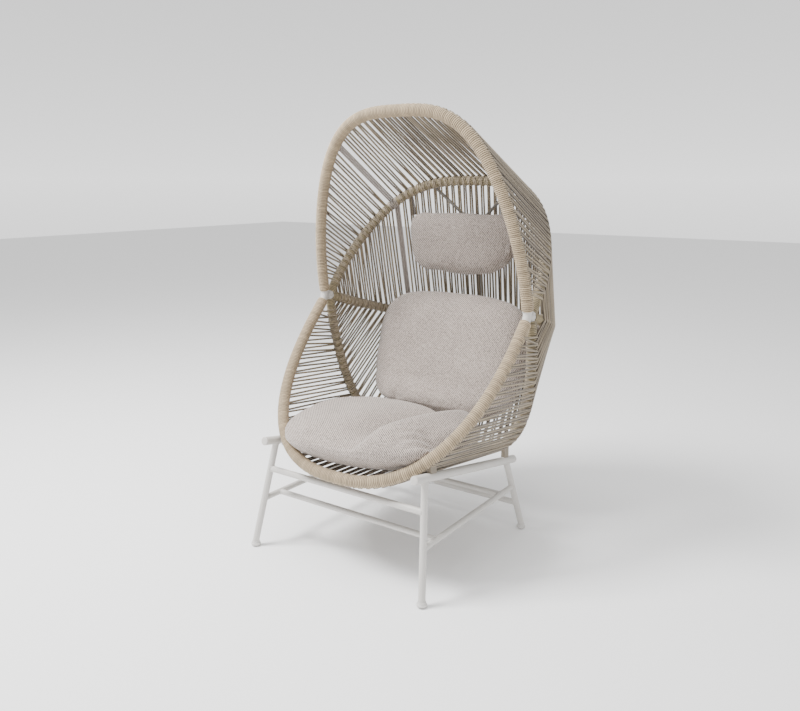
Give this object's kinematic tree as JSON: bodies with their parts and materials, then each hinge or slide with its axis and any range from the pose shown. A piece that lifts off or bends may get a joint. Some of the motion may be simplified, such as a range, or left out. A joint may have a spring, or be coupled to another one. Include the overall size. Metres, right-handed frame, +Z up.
{
  "type": "corded pod chair",
  "caption": "High-backed hooded lounge chair: a basket of cord strung between bent tube hoops, loose cushions and a head pillow, on a splayed tube base.",
  "frame": {"origin": "centre of the object's box, at floor level", "axes": "+Z up; the sitter faces -Y; +X is on the sitter's left"},
  "size_m": [0.8778, 0.9562, 1.4641],
  "materials": {
    "frame": "off-white powder coat, fine satin",
    "wrap": "pale beige cord wound closely round the tube",
    "cord": "taupe braided cord, matt",
    "brace": "grey-beige powder coat",
    "upholstery": "light grey-beige woven outdoor fabric",
    "glide": "off-white moulded glide",
    "bolt": "plain stainless bolt"
  },
  "bodies": {
    "root": {"arm_tube": "frame", "arm_wrap": "wrap", "back_cushion": "upholstery", "brace_arm_left": "brace", "brace_arm_right": "brace", "brace_spine": "brace", "canopy_cords": "cord", "feet": "glide", "front_crossbar": "frame", "front_tie": "frame", "head_pillow": "upholstery", "hood_rear_tube": "frame", "hood_rear_wrap": "wrap", "hood_rim_tube": "frame", "hood_rim_wrap": "wrap", "junction_left": "frame", "junction_right": "frame", "leg_front_left": "frame", "leg_front_right": "frame", "leg_rear_left": "frame", "leg_rear_right": "frame", "lower_back_cords": "cord", "pillow_strap_left": "upholstery", "pillow_strap_right": "upholstery", "rail_end_caps": "frame", "rail_left": "frame", "rail_right": "frame", "rear_crossbar": "frame", "rear_tie": "frame", "saddle_bolts": "bolt", "saddle_front_left": "frame", "saddle_front_right": "frame", "saddle_rear_left": "frame", "saddle_rear_right": "frame", "seat_cords": "cord", "seat_cushion": "upholstery", "seat_rear_tube": "frame", "seat_rear_wrap": "wrap", "seat_rim_tube": "frame", "seat_rim_wrap": "wrap", "side_stretcher_left": "frame", "side_stretcher_right": "frame", "upper_back_cords": "cord"}
  },
  "joints": []
}
